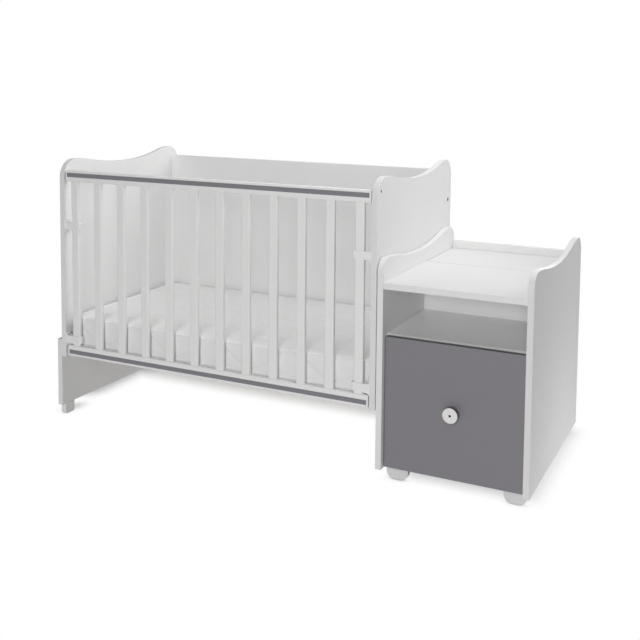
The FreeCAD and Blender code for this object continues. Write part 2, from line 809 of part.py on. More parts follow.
# Catch pins: steel plungers in the bosses of the lower guides, each on a spring sunk in the end panel
for side, hand in enumerate(("left", "right")):
    inward = INWARD[side]
    axis = (inner_faces[side], y_mid, catch_height)
    tail = along(axis, inward, s.catch_tail)
    pin_length = s.slat_end_gap - s.catch_tip_gap - s.catch_tail
    label = f"catch_pin_{hand}"
    plunger = doc.addObject("PartDesign::Body", f"{label}_body")
    circle = sketch_on(plunger, "XY_Plane")
    circle.addGeometry(Part.Circle(Vector(), Vector(0, 0, 1), s.catch_radius.value))
    circle.addConstraint(Sketcher.Constraint("Coincident", 0, 3, -1, 1))
    radius_constraint = circle.addConstraint(Sketcher.Constraint("Radius", 0, s.catch_radius.value))
    bind(circle, f"Constraints[{radius_constraint}]", s.catch_radius)
    pad = plunger.newObject("PartDesign::Pad", f"{label}_pad")
    pad.Profile = circle
    bind(pad, "Length", pin_length)
    ease_edges(plunger, s.catch_tip_round)
    plunger.Placement = Placement(Vector(), TURNS[inward])
    node(label, move(plunger, *tail))
    spring_start = along(axis, OUTWARD[side], s.catch_spring_length)
    spring_length = s.catch_spring_length + s.catch_tail
    coil_radius = s.catch_radius - s.catch_spring_gap
    coil = rod(f"spring_{hand}", spring_start, inward, coil_radius, spring_length)
    hollow = rod(f"spring_{hand}_hollow", along(spring_start, OUTWARD[side], s.overrun), inward,
                 coil_radius - s.catch_spring_wall, spring_length + 2 * s.overrun)
    node(f"catch_spring_{hand}", cut(f"spring_{hand}", coil, [hollow]))

# Cabinet carcass: wavy side panels, a top in two boards, back board, divider, shelf and bottom
y_cabinet = y_front + s.cabinet_setback
y_cabinet_back = y_cabinet + s.cabinet_depth
y_back_board = y_cabinet_back - s.board
y_seam = y_cabinet + s.top_seam
y_drawer_face = y_cabinet + s.drawer_recess
y_drawer_inner = y_drawer_face + s.board
y_inside = y_drawer_inner + s.drawer_back_gap
x_inner = (x_cabinet + s.board, x_end - s.board)
side_heights = (s.foot_height, s.foot_height + s.board)
top_z = (s.cabinet_top - s.board, s.cabinet_top)
divider_y = (y_seam - s.board / 2, y_seam + s.board / 2)
runner_mid = s.drawer_side_bottom + s.drawer_side_height / 2
runner_y = (y_drawer_inner + s.runner_end_gap, y_drawer_inner + s.drawer_box_length)
runner_peg_places = [runner_y[0] + share * (runner_y[1] - runner_y[0]) for share in RUNNER_PEG_SHARES]

caps = []
for label, side in (("cabinet_left_side", 0), ("cabinet_right_side", 1)):
    outer = (x_cabinet, x_end)[side]
    inner = x_inner[side]
    blank = wavy_panel(
        label, outer if side == 0 else inner, y_cabinet, s.foot_height, s.cabinet_depth,
        s.cabinet_front_crest, s.cabinet_dip, s.cabinet_rear_crest,
        s.cabinet_front_corner, s.cabinet_rear_corner, CABINET_WAVE_SHARES,
    )
    bores = [
        rod(f"{label}_peg_bore", (inner, place, runner_mid), OUTWARD[side],
            s.runner_peg_radius + s.screw_clearance, s.runner_peg_length + s.screw_clearance)
        for place in runner_peg_places
    ]
    if side == 0:
        for place, height in cabinet_bolt_places:
            bores.append(bolt_bore(
                f"{label}_joint", along((inner, place, height), "+X", s.overrun), "-X",
                s.board + 2 * s.overrun, head=False,
            ))
    else:
        cap_seat = (x_end, y_cabinet + s.cap_setback, s.cap_height)
        bores.append(rod(f"{label}_cap_bore", cap_seat, "-X", s.cap_radius + s.cap_clearance, s.cap_depth))
        caps.append(rod("cap", cap_seat, "-X", s.cap_radius, s.cap_depth))
    node(label, cut(label, blank, bores))
group("cover_cap", caps)
bolts = []
for number, (place, height) in enumerate(cabinet_bolt_places):
    seat = along((x_inner[0], place, height), "+X", s.bolt_head_height)
    reach = s.bolt_head_height + s.cabinet_gap + s.short_bolt_reach - s.bolt_clearance
    bolts.append(bolt(f"cabinet_bolt_{number}", seat, "-X", reach))
group("cabinet_bolts", bolts)

front_top_y = (y_cabinet + s.top_setback, y_seam - s.top_seam_gap / 2)
node("cabinet_front_top", board("cabinet_front_top", x_inner, front_top_y, top_z))
rear_top_y = (y_seam + s.top_seam_gap / 2, y_back_board)
node("cabinet_rear_top", board("cabinet_rear_top", x_inner, rear_top_y, top_z))
node("cabinet_back_board", board(
    "cabinet_back_board", x_inner, (y_back_board, y_cabinet_back), (s.foot_height, s.upstand_top)))
node("cabinet_divider", block("cabinet_divider", x_inner, divider_y, (side_heights[1], top_z[0])))
shelf_z = (s.shelf_top - s.board, s.shelf_top)
node("cabinet_shelf", board("cabinet_shelf", x_inner, (y_inside, divider_y[0]), shelf_z))
node("cabinet_bottom", block("cabinet_bottom", x_inner, (y_inside, y_back_board), side_heights))
feet = []
for y_foot in (y_inside + s.board, y_back_board):
    for x_foot in (x_inner[0] + s.foot_shift, x_inner[1] + s.foot_shift - s.foot_width):
        feet.append(foot("cabinet_foot", "XZ_Plane", x_foot, y_foot, s.foot_width, s.foot_corner))
group("cabinet_feet", feet)

# Drawer runners: plastic strips pegged into the cabinet's sides, which the grooved drawer sides slide on
runner_z = (runner_mid - s.runner_height / 2, runner_mid + s.runner_height / 2)
runner_depth = s.drawer_side_gap + s.runner_groove - s.runner_tip_gap
runners = []
for side, face in enumerate(x_inner):
    tip = along((face,), INWARD[side], runner_depth)[0]
    strip = block(f"runner_{side}", (face, tip) if side == 0 else (tip, face), runner_y, runner_z)
    pegs = [
        rod(f"runner_{side}_peg", (face, place, runner_mid), OUTWARD[side], s.runner_peg_radius,
            s.runner_peg_length)
        for place in runner_peg_places
    ]
    runners.append(joined(f"runner_{side}_whole", [strip] + pegs))
group("drawer_runners", runners)

# Drawer box: grooved sides, a back between them and a thin floor held in the sides
drawer_y = (y_drawer_inner, y_drawer_inner + s.drawer_box_length)
drawer_z = (s.drawer_side_bottom, s.drawer_side_bottom + s.drawer_side_height)
floor_z = (drawer_z[0] + s.drawer_floor_lift, drawer_z[0] + s.drawer_floor_lift + s.drawer_floor_thickness)
inner_sides = []
for label, side in (("drawer_left_side", 0), ("drawer_right_side", 1)):
    outer = along((x_inner[side],), INWARD[side], s.drawer_side_gap)[0]
    inner = along((outer,), INWARD[side], s.drawer_side_thickness)[0]
    inner_sides.append(inner)
    groove_end = along((outer,), INWARD[side], s.runner_groove)[0]
    groove_start = along((outer,), OUTWARD[side], s.overrun)[0]
    floor_end = along((inner,), OUTWARD[side], s.drawer_floor_groove)[0]
    floor_start = along((inner,), INWARD[side], s.overrun)[0]
    side_x = (outer, inner) if side == 0 else (inner, outer)
    groove_x = (groove_start, groove_end) if side == 0 else (groove_end, groove_start)
    floor_x = (floor_end, floor_start) if side == 0 else (floor_start, floor_end)
    through_y = (drawer_y[0] - s.overrun, drawer_y[1] + s.overrun)
    grooves = [
        block(f"{label}_runner_groove", groove_x, through_y,
              (runner_z[0] - s.runner_clearance, runner_z[1] + s.runner_clearance)),
        block(f"{label}_floor_groove", floor_x, through_y,
              (floor_z[0] - s.drawer_floor_clearance, floor_z[1] + s.drawer_floor_clearance)),
    ]
    node(label, cut(label, block(f"{label}_blank", side_x, drawer_y, drawer_z), grooves))
back_y = (drawer_y[1] - s.drawer_back_thickness, drawer_y[1])
back_z = (floor_z[1] + s.drawer_floor_clearance, drawer_z[1])
node("drawer_back", block("drawer_back", tuple(inner_sides), back_y, back_z))
floor_tongue = s.drawer_floor_groove - s.drawer_floor_clearance
node("drawer_floor", block(
    "drawer_floor", (inner_sides[0] - floor_tongue, inner_sides[1] + floor_tongue), drawer_y, floor_z))

# Drawer front, set back between the side panels, with a flat round knob in the middle
front_x = (x_inner[0] + s.drawer_gap, x_inner[1] - s.drawer_gap)
front_z = (s.drawer_front_bottom, s.drawer_front_top)
knob_x = (front_x[0] + front_x[1]) / 2
knob_z = (front_z[0] + front_z[1]) / 2
blank = board("drawer_front", front_x, (y_drawer_face, y_drawer_inner), front_z)
knob_bore = s.screw_radius + s.screw_clearance
screw_seat = y_drawer_face - s.knob_height + s.knob_recess_depth
screw_end = screw_seat + s.knob_screw_length
front_bore = rod("drawer_front_bore", (knob_x, y_drawer_face - s.overrun, knob_z), "+Y", knob_bore,
                 s.overrun + screw_end - y_drawer_face)
node("drawer_front", cut("drawer_front", blank, [front_bore]))

knob = doc.addObject("PartDesign::Body", "drawer_knob_body")
knob_outline = sketch_on(knob, "XY_Plane")
trace(knob_outline, [
    (s.knob_neck_radius, ZERO),
    (knob_bore, ZERO),
    (knob_bore, s.knob_recess_depth - s.knob_height),
    (s.knob_recess_radius, s.knob_recess_depth - s.knob_height),
    (s.knob_recess_radius, -s.knob_height),
    (s.knob_radius - s.knob_round, -s.knob_height),
    (s.knob_radius, s.knob_round - s.knob_height, s.knob_round, "left"),
    (s.knob_radius, s.knob_head - s.knob_round - s.knob_height),
    (s.knob_radius - s.knob_round, s.knob_head - s.knob_height, s.knob_round, "left"),
    (s.knob_neck_radius, s.knob_head - s.knob_height),
])
turned = knob.newObject("PartDesign::Revolution", "drawer_knob_turned")
turned.Profile = knob_outline
turned.ReferenceAxis = (knob_outline, ["V_Axis"])
turned.Angle = 360
node("drawer_knob", move(knob, knob_x, y_drawer_face, knob_z))
node("knob_screw", screw("knob_screw_whole", (knob_x, screw_seat, knob_z), "+Y", s.knob_screw_length))

doc.recompute()
faults = [item.Label for item in doc.Objects if {"Invalid", "Error"} & set(item.State)]
faults += [item.Label for item in nodes if item.Shape.isNull() or not item.Shape.isValid()]
if faults:
    raise SystemExit(f"not built: {', '.join(faults)}")
os.makedirs("parts", exist_ok=True)
for item in nodes:
    item.Shape.exportStep(f"parts/{item.Label}.step")
print(f"{len(nodes)} sub-parts, {sum(len(item.Shape.Solids) for item in nodes)} solids")
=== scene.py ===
import math

import bpy
import numpy as np
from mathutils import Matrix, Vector
from mathutils.bvhtree import BVHTree


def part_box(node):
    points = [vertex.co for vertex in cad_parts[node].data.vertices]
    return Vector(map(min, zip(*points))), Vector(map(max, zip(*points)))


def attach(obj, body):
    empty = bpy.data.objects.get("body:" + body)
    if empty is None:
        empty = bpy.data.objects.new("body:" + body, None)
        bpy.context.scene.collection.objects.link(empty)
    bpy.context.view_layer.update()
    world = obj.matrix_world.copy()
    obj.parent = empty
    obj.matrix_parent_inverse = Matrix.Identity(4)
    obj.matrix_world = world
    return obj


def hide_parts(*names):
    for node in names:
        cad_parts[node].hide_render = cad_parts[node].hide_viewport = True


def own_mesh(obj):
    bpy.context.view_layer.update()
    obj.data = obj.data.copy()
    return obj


# A white cot that converts to a child's bed, with the bedside cabinet that carries its right end.
# Everything is in metres: X runs along the cot, the front faces -Y, and the floor is at Z = 0.
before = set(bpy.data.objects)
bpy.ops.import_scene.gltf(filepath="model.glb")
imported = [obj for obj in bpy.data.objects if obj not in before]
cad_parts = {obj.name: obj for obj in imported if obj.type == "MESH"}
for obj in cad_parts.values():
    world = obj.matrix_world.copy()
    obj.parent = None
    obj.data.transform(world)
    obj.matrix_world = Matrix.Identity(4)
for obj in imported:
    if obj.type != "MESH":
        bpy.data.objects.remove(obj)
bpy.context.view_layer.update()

# End panels, back panel and plinth: 18 mm chipboard faced with white melamine, cut to their outline on a
# router and edged with a thin white band. The press leaves a fine pebble on the faces, and the band is
# smoother, with a hairline of glue beside it. Bolts pull the panels together at the corners.
BOARD_WHITE = (0.82, 0.82, 0.818)
# A lighter copy of the board's white, as painted light; the next is a darker copy, as painted shade, for
# edgings.
PAINTED_LIGHT_WHITE = (0.88, 0.88, 0.878)
PAINTED_SHADE_WHITE = (0.735, 0.735, 0.733)
# A darker copy of the board's white for the plinth: painted shade.
PLINTH_PAINTED_SHADE = (0.735, 0.735, 0.738)
# The edge band's white: its own tape, set a little darker than the face as painted shade on the edges.
BAND_SHADED_WHITE = (0.775, 0.775, 0.772)
GLUE_GREY = (0.60, 0.595, 0.585)
GLUE_SHARE = 0.5
CHIP_BROWN = (0.16, 0.12, 0.08)
BORE_PLACE = (-0.3025, 0.842)
BORE_RADIUS = 0.0042
BORE_FRAY = 1.2
SEAM_WIDTH = 0.003
SEAM_SHADE_SHARE = 0.6
PRESS_PER_METRE = 5.0
PRESS_SHADES = (0.985, 1.015)
PEBBLE_PER_METRE = 1400.0
PEBBLE_HEIGHT = 0.00006
SATIN_PER_METRE = 60.0
BOARD_ROUGHNESS = (0.46, 0.54)
BOARD_SPECULAR = (0.45, 0.90)
POLISH_GLOSS = 0.2
BAND_GLOSS = 0.08
# How squarely a surface faces across the board, where the band ends and where its glue starts and ends.
BAND_TURN = (0.45, 0.60)
GLUE_START = (0.55, 0.70)
GLUE_END = (0.85, 0.97)


class Wire:
    """A shader socket that takes Python's arithmetic: each operator on values adds one Math node."""

    def __init__(self, socket):
        self.socket = socket
        self.tree = socket.id_data

    def node(self, kind, settings=None, values=None, output=0):
        """Adds a node: its settings first, then the values or links of its sockets."""
        added = self.tree.nodes.new(kind)
        for name, setting in (settings or {}).items():
            setattr(added, name, setting)
        for name, value in (values or {}).items():
            if isinstance(value, Wire):
                self.tree.links.new(value.socket, added.inputs[name])
            else:
                added.inputs[name].default_value = value
        return Wire(added.outputs[output]) if added.outputs else None

    def math(self, operation, first, second=0.0):
        return self.node("ShaderNodeMath", {"operation": operation}, {0: first, 1: second})

    def __add__(self, other):
        return self.math("ADD", self, other)

    __radd__ = __add__

    def __sub__(self, other):
        return self.math("SUBTRACT", self, other)

    def __rsub__(self, other):
        return self.math("SUBTRACT", other, self)

    def __mul__(self, other):
        return self.math("MULTIPLY", self, other)

    __rmul__ = __mul__


def new_finish(name):
    """A new material, and the wire of its object coordinates."""
    material = bpy.data.materials.new(name)
    material.use_nodes = True
    tree = material.node_tree
    tree.nodes.clear()
    return material, Wire(tree.nodes.new("ShaderNodeTexCoord").outputs["Object"])


def surface(place, values):
    """Closes a material with its shader and output."""
    shader = place.node("ShaderNodeBsdfPrincipled", None, values)
    place.node("ShaderNodeOutputMaterial", None, {"Surface": shader})


def cloud(place, scale=1.0, detail=2.0):
    """Soft noise from 0 to 1, with so many lumps to the metre."""
    return place.node("ShaderNodeTexNoise", None, {"Vector": place, "Scale": scale, "Detail": detail})


def stepped(value, low, high):
    """0 below the low value, 1 above the high one, and smooth between them."""
    return value.node(
        "ShaderNodeMapRange", {"interpolation_type": "SMOOTHSTEP"},
        {"Value": value, "From Min": low, "From Max": high},
    )


def ranged(share, ends):
    """A number that goes from the first end to the second as the share goes from 0 to 1."""
    return ends[0] + (ends[1] - ends[0]) * share


def rgba(colour):
    """A colour as a socket takes it."""
    return colour if isinstance(colour, Wire) else (*colour, 1.0)


def blended(share, first, second):
    """A colour between two others."""
    ends = {"Factor": share, "A": rgba(first), "B": rgba(second)}
    return share.node("ShaderNodeMix", {"data_type": "RGBA"}, ends, output=2)


def relief(height, distance):
    """A surface normal raised by a height from 0 to 1, over a real distance."""
    return height.node("ShaderNodeBump", None, {"Height": height, "Distance": distance})


def dress(material, *names):
    """Gives CAD nodes their finish."""
    for name in names:
        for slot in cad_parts[name].material_slots:
            slot.material = material


def along(vector, axis):
    """The X, Y or Z of a vector."""
    return vector.node("ShaderNodeSeparateXYZ", None, {"Vector": vector}, output=axis)


def facing(place, axis):
    """1 where the surface faces along the axis X, Y or Z, either way, and 0 where it lies along it."""
    return place.math("ABSOLUTE", along(place.node("ShaderNodeNewGeometry", output="Normal"), axis))


def melamine(name, across, face=BOARD_WHITE, edging=BAND_SHADED_WHITE, polish=0.0, bore=None, seams=()):
    """White board whose thickness lies along one axis: X, Y or Z. Its edges face the other two. Polish, from
    0 to 1, smooths the pebble and sharpens the gloss. A bore through the face, at its place on Y and Z, shows
    the raw chipboard. A seam, at its place on an axis, is painted shade along the joint with the next board."""
    material, place = new_finish(name)
    flat = facing(place, across)
    band = 1 - stepped(flat, *BAND_TURN)
    glue = stepped(flat, *GLUE_START) * (1 - stepped(flat, *GLUE_END))
    colour = blended(glue * GLUE_SHARE, blended(band, face, edging), GLUE_GREY)
    if bore:
        offset = {"Y": along(place, "Y") - bore[0], "Z": along(place, "Z") - bore[1]}
        spread = place.node("ShaderNodeCombineXYZ", None, offset)
        away = place.node("ShaderNodeVectorMath", {"operation": "LENGTH"}, {0: spread}, output="Value")
        hole = 1 - stepped(away, BORE_RADIUS, BORE_FRAY * BORE_RADIUS)
        colour = blended(band * hole, colour, CHIP_BROWN)
    # Painted shade along each seam, where the joint with the next board lies.
    for axis, line, grey in seams:
        beside = place.math("ABSOLUTE", along(place, axis) - line)
        seam_shade = 1 - stepped(beside, SEAM_WIDTH / 2, SEAM_WIDTH)
        colour = blended(SEAM_SHADE_SHARE * seam_shade, colour, grey)
    shade = ranged(cloud(place, PRESS_PER_METRE), PRESS_SHADES)
    satin = ranged(cloud(place, SATIN_PER_METRE), BOARD_ROUGHNESS)
    pebble = cloud(place, PEBBLE_PER_METRE, detail=1.0)
    surface(place, {
        "Base Color": place.node("ShaderNodeVectorMath", {"operation": "SCALE"}, {0: colour, "Scale": shade}),
        "Roughness": satin - (POLISH_GLOSS * polish + BAND_GLOSS * band),
        "Specular IOR Level": ranged(polish, BOARD_SPECULAR),
        "Normal": relief(pebble * (1 - band), PEBBLE_HEIGHT * (1 - polish)),
    })
    return material


bored_panel = melamine("white_board_bored", "X", bore=BORE_PLACE)
# The right end panel takes the lighter copy of the white as painted light, and its edges the darker one as
# painted shade.
painted_light_panel = melamine("white_board_painted_light", "X", face=PAINTED_LIGHT_WHITE, edging=PAINTED_SHADE_WHITE, bore=BORE_PLACE)
upright_across_x = melamine("white_board_end", "X")
upright_across_y = melamine("white_board_back", "Y")
dress(bored_panel, "left_end_panel")
dress(painted_light_panel, "right_end_panel")
# The plinth is painted darker, as painted shade.
dress(melamine("white_board_plinth", "X", face=PLINTH_PAINTED_SHADE), "left_plinth", "plinth_feet")
dress(upright_across_y, "back_panel")

# Connecting bolts, cross nuts, brackets and screws: zinc-plated steel, with the fine streaks of drawn wire
# and the faint clouding of the bath. The catch pins are polished. The bolts that show have burnished heads
# that take a hex key, and lie flush in the panels.
ZINC_LIGHT = (0.66, 0.66, 0.67)
ZINC_DARK = (0.52, 0.52, 0.54)
ZINC_ROUGHNESS = (0.24, 0.40)
POLISHED_LIGHT = (0.86, 0.86, 0.86)
POLISHED_ROUGHNESS = (0.06, 0.22)
BURNISHED_LIGHT = (0.055, 0.053, 0.052)
BURNISHED_DARK = (0.030, 0.029, 0.028)
BURNISHED_ROUGHNESS = (0.36, 0.52)
BATH_PER_METRE = 180.0
STREAKS_PER_METRE = (900.0, 120.0, 900.0)
STREAK_HEIGHT = 0.00002


def stretched(place, scale):
    """Coordinates with their own scale along each axis, for streaks and grain."""
    return place.node("ShaderNodeMapping", None, {"Vector": place, "Scale": scale})


def steel(name, dark, light, roughness):
    """Drawn steel between two tones, with the ends of its roughness."""
    material, place = new_finish(name)
    bath = cloud(place, BATH_PER_METRE)
    streaks = cloud(stretched(place, STREAKS_PER_METRE), detail=1.0)
    surface(place, {
        "Base Color": blended(bath, dark, light),
        "Metallic": 1.0,
        "Roughness": ranged(bath, roughness),
        "Normal": relief(streaks, STREAK_HEIGHT),
    })
    return material


zinc = steel("zinc_plated_steel", ZINC_DARK, ZINC_LIGHT, ZINC_ROUGHNESS)
polished = steel("polished_steel", ZINC_LIGHT, POLISHED_LIGHT, POLISHED_ROUGHNESS)
burnished = steel("burnished_steel", BURNISHED_DARK, BURNISHED_LIGHT, BURNISHED_ROUGHNESS)
dress(zinc, "barrel_nuts", "base_brackets", "bracket_screws")
dress(polished, "catch_pin_left", "catch_pin_right")
# The knob screw's near-black head is partly painted shade: it stands for the hollow at the knob's centre.
dress(burnished, "back_panel_bolts", "plinth_bolts", "cabinet_bolts", "knob_screw")

# Catch springs: a coil of zinc-plated wire behind each catch pin, sunk in the end panel.
SPRING_WIRE = 0.00045
SPRING_TURNS = 7
STEPS_PER_TURN = 24


def placed(name, data):
    """Puts a mesh, curve, lamp or camera into the scene as a new object."""
    thing = bpy.data.objects.new(name, data)
    bpy.context.scene.collection.objects.link(thing)
    return thing


def shaped_mesh(piece):
    """The mesh that a piece's curve or modifiers give."""
    return bpy.data.meshes.new_from_object(piece.evaluated_get(bpy.context.evaluated_depsgraph_get()))


def round_strand(name, radius):
    """A curve as thick as its radius, with no line in it yet."""
    strand = bpy.data.curves.new(name, "CURVE")
    strand.dimensions = "3D"
    strand.bevel_depth = radius
    return strand


def add_line(strand, spots):
    """Adds a line through the spots to a strand."""
    line = strand.splines.new("POLY")
    line.points.add(len(spots) - 1)
    for point, spot in zip(line.points, spots):
        point.co = (*spot, 1.0)
    return line


winding = np.linspace(0, 2 * np.pi * SPRING_TURNS, SPRING_TURNS * STEPS_PER_TURN + 1)
for hand, outer in (("left", 0), ("right", 1)):
    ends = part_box(f"catch_spring_{hand}")
    core = (ends[0] + ends[1]) / 2
    turn_radius = core.z - ends[0].z - SPRING_WIRE
    helix = np.column_stack([
        np.linspace(ends[0].x + SPRING_WIRE, ends[1].x - SPRING_WIRE, len(winding)),
        core.y + turn_radius * np.cos(winding),
        core.z + turn_radius * np.sin(winding),
    ])
    strand = round_strand(f"catch_wire_{hand}", SPRING_WIRE)
    add_line(strand, helix)
    drawn = placed(f"catch_wire_{hand}", strand)
    coil = placed(f"catch_coil_{hand}", shaped_mesh(drawn))
    bpy.data.objects.remove(drawn)
    coil.data.shade_smooth()
    coil.data.materials.append(zinc)
    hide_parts(f"catch_spring_{hand}")
    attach(coil, "frame")
    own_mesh(coil)

# Slatted base: planed softwood battens screwed across two rails, which hang on steel brackets. The grain runs
# along each piece, with pale early wood between darker rings.
EARLY_WOOD = (0.70, 0.65, 0.57)
LATE_WOOD = (0.56, 0.49, 0.40)
GRAIN_ALONG = 1.2
GRAIN_ACROSS = 40.0
RING_FORM = {"Scale": 1.1, "Distortion": 3.5, "Detail": 2.0, "Detail Scale": 1.2}
RING_SHARE = 0.7
RING_STEP = (0.25, 0.95)
SWAY_SCALE = 1.4
FIBRE_SCALE = 14.0
FIBRE_STAIN = (0.55, 1.0)
WOOD_ROUGHNESS = (0.62, 0.76)
GRAIN_HEIGHT = 0.00015


def softwood(name, stretch):
    """Bare pine whose grain runs along the axis with the smallest stretch."""
    material, place = new_finish(name)
    sawn = stretched(place, stretch)
    rings = sawn.node(
        "ShaderNodeTexWave", {"wave_type": "RINGS", "rings_direction": "Y"},
        {"Vector": sawn, **RING_FORM}, output="Fac",
    )
    sway = cloud(sawn, SWAY_SCALE)
    fibres = cloud(sawn, FIBRE_SCALE)
    grain = stepped(rings * RING_SHARE + sway * (1 - RING_SHARE), *RING_STEP)
    surface(place, {
        "Base Color": blended(grain * ranged(fibres, FIBRE_STAIN), EARLY_WOOD, LATE_WOOD),
        "Roughness": ranged(fibres, WOOD_ROUGHNESS),
        "Normal": relief(grain + fibres, GRAIN_HEIGHT),
    })
    return material


rail_wood = softwood("softwood_rail", (GRAIN_ALONG, GRAIN_ACROSS, GRAIN_ACROSS))
slat_wood = softwood("softwood_slat", (GRAIN_ACROSS, GRAIN_ALONG, GRAIN_ACROSS))
dress(rail_wood, "base_front_rail", "base_rear_rail")
dress(slat_wood, "base_slats")

# Mattress: a foam block in a zipped microfibre cover. The cover is quilted in parallel wavy lines, flat on
# top and deeper on the border, and a corded seam joins the two. It fills the cot and sags a little in front.
QUILT_ROW = 0.108
QUILT_WAVE = 0.034
QUILT_LENGTH = 0.285
QUILT_START = -0.425
STITCH_WIDTH = 0.004
TOP_TUCK = 0.0005
BORDER_TUCK = 0.0018
UPWARD = 0.6
SAG = 0.009
SAG_DEPTH = 0.28
VOXEL = 0.006
SWELL_ROOM = 0.0015
SWELL_CAP = 0.0015
PRESSURE = 4.0
FRAMES = 20
HEM = 0.012
COVER_WHITE = (0.82, 0.82, 0.818)
COVER_SHADE = (0.72, 0.72, 0.718)
COVER_ROUGHNESS = (0.82, 0.92)
STITCH_REACH = 0.006
# How much painted shade the grooves along the stitches take.
STITCH_PAINTED_SHADE = 0.25
CRUMPLE_PER_METRE = 55.0
CRUMPLE_STAIN = 0.1
CRUMPLE_HEIGHT = 0.0007
WEAVE_FORM = {"Scale": 160.0, "Distortion": 0.6}
WEAVE_SHARE = 0.12


def quilt_distance(run, climb):
    """How far points lie from the nearest stitched line of a quilt that waves along its length."""
    phase = 2 * np.pi * (run - QUILT_START) / QUILT_LENGTH
    above = climb + QUILT_WAVE * np.sin(phase)
    slope = 2 * np.pi * QUILT_WAVE / QUILT_LENGTH * np.cos(phase)
    return np.abs(above - QUILT_ROW * np.round(above / QUILT_ROW)) / np.sqrt(1 + slope ** 2)


def points_of(mesh):
    """A mesh's points, one to a row."""
    flat = np.empty(len(mesh.vertices) * 3)
    mesh.vertices.foreach_get("co", flat)
    return flat.reshape(-1, 3)


def normals_of(mesh):
    """The normals of a mesh's points, one to a row."""
    flat = np.empty(len(mesh.vertices) * 3, np.float32)
    mesh.vertex_normals.foreach_get("vector", flat)
    return flat.reshape(-1, 3).astype(float)


def set_points(mesh, points):
    """Moves a mesh's points."""
    mesh.vertices.foreach_set("co", points.ravel())
    mesh.update()


def settle(piece):
    """Replaces a piece's mesh with the result of its modifiers."""
    shaped = shaped_mesh(piece)
    piece.modifiers.clear()
    piece.data = shaped


low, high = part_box("mattress")
middle = np.array((low + high) / 2)
reach = np.array(high - low) / 2


def stitched_distance(points, normals):
    """The quilt's distance on the top and on the border, and far away below."""
    over = quilt_distance(points[:, 0], points[:, 1])
    run = np.where(np.abs(normals[:, 0]) > np.abs(normals[:, 1]), points[:, 1], points[:, 0])
    beside = quilt_distance(run, points[:, 2] - middle[2])
    distance = np.where(normals[:, 2] > UPWARD, over, beside)
    return np.where(normals[:, 2] < -UPWARD, QUILT_ROW, distance)


def sagged(points):
    """Lowers points with the foam, which gives a little in the middle of its front edge."""
    span = (points[:, 0] - middle[0]) / reach[0]
    nearness = np.clip(1 - (points[:, 1] - low[1]) / SAG_DEPTH, 0, 1) ** 2
    height = (points[:, 2] - low[2]) / (high[2] - low[2])
    return points - np.outer(SAG * (1 - span ** 2) * nearness * height, (0, 0, 1))


# The cover starts a little small and swells between its stitches. The stitches are then pulled in, and the
# foot of the border is set straight where it stands on the slats.
cover = placed("quilted_mattress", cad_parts["mattress"].data.copy())
points = points_of(cover.data)
points[:, :2] = middle[:2] + (points[:, :2] - middle[:2]) * (1 - SWELL_ROOM / reach[:2])
points[:, 2] = low[2] + (points[:, 2] - low[2]) * (1 - SWELL_ROOM / (2 * reach[2]))
set_points(cover.data, sagged(points))
remesh = cover.modifiers.new("even_mesh", "REMESH")
remesh.mode = "VOXEL"
remesh.voxel_size = VOXEL
settle(cover)
start = points_of(cover.data)
distance = stitched_distance(start, normals_of(cover.data))
held = (distance < STITCH_WIDTH) | (start[:, 2] < low[2] + VOXEL)
stitches = cover.vertex_groups.new(name="stitches")
stitches.add([int(number) for number in np.flatnonzero(held)], 1.0, "REPLACE")
cloth = cover.modifiers.new("swelling", "CLOTH")
cloth.settings.use_pressure = True
cloth.settings.uniform_pressure_force = PRESSURE
cloth.settings.effector_weights.gravity = 0.0
cloth.settings.vertex_group_mass = "stitches"
cloth.collision_settings.use_collision = False
for number in range(1, FRAMES + 1):
    bpy.context.scene.frame_set(number)
settle(cover)
shift = points_of(cover.data) - start
length = np.linalg.norm(shift, axis=1, keepdims=True)
set_points(cover.data, start + shift * (SWELL_CAP / np.maximum(length, SWELL_CAP)))
smoothing = cover.modifiers.new("smoothing", "SUBSURF")
smoothing.levels = 1
settle(cover)
points = points_of(cover.data)
normals = normals_of(cover.data)
distance = stitched_distance(points, normals)
tuck = np.where(normals[:, 2] > UPWARD, TOP_TUCK, BORDER_TUCK) * np.exp(-((distance / STITCH_WIDTH) ** 2))
points -= normals * tuck[:, None]
side = middle[:2] + np.sign(points[:, :2] - middle[:2]) * (reach[:2] - SWELL_ROOM)
hem = (points[:, 2:] < low[2] + HEM) & (np.abs(side - points[:, :2]) < HEM)
points[:, :2] = np.where(hem, side, points[:, :2])
set_points(cover.data, points)
cover.data.shade_smooth()
quilting = cover.data.attributes.new("stitch_distance", "FLOAT", "POINT")
quilting.data.foreach_set("value", distance.astype(np.float32))

microfibre, place = new_finish("quilted_microfibre")
stitched = place.node("ShaderNodeAttribute", {"attribute_name": "stitch_distance"}, output="Fac")
# Painted shade: the cover is darker along its stitched lines, in the grooves of the quilting.
groove_shade = 1 - stepped(stitched, 0.0, STITCH_REACH)
thread = {"Vector": place, **WEAVE_FORM}
warp = place.node("ShaderNodeTexWave", {"bands_direction": "X"}, thread, output="Fac")
weft = place.node("ShaderNodeTexWave", {"bands_direction": "Y"}, thread, output="Fac")
crumple = cloud(place, CRUMPLE_PER_METRE, detail=3.0)
surface(place, {
    "Base Color": blended(groove_shade * STITCH_PAINTED_SHADE + crumple * CRUMPLE_STAIN, COVER_WHITE, COVER_SHADE),
    "Roughness": ranged(crumple, COVER_ROUGHNESS),
    "Sheen Weight": 0.25,
    "Sheen Roughness": 0.5,
    "Specular IOR Level": 0.2,
    "Normal": relief(warp * weft * WEAVE_SHARE + crumple, CRUMPLE_HEIGHT),
})
cover.data.materials.clear()
cover.data.materials.append(microfibre)
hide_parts("mattress")
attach(cover, "frame")

# The seams' cords lie just under the edge between the top panel and the border, and just above the one
# between the border and the bottom panel. They are sewn in all the way round.
CORD_RADIUS = 0.0014
CORD_DROP = 0.0065
CORD_POINTS = 480
CORD_FACETS = 3
CROWN = 0.004

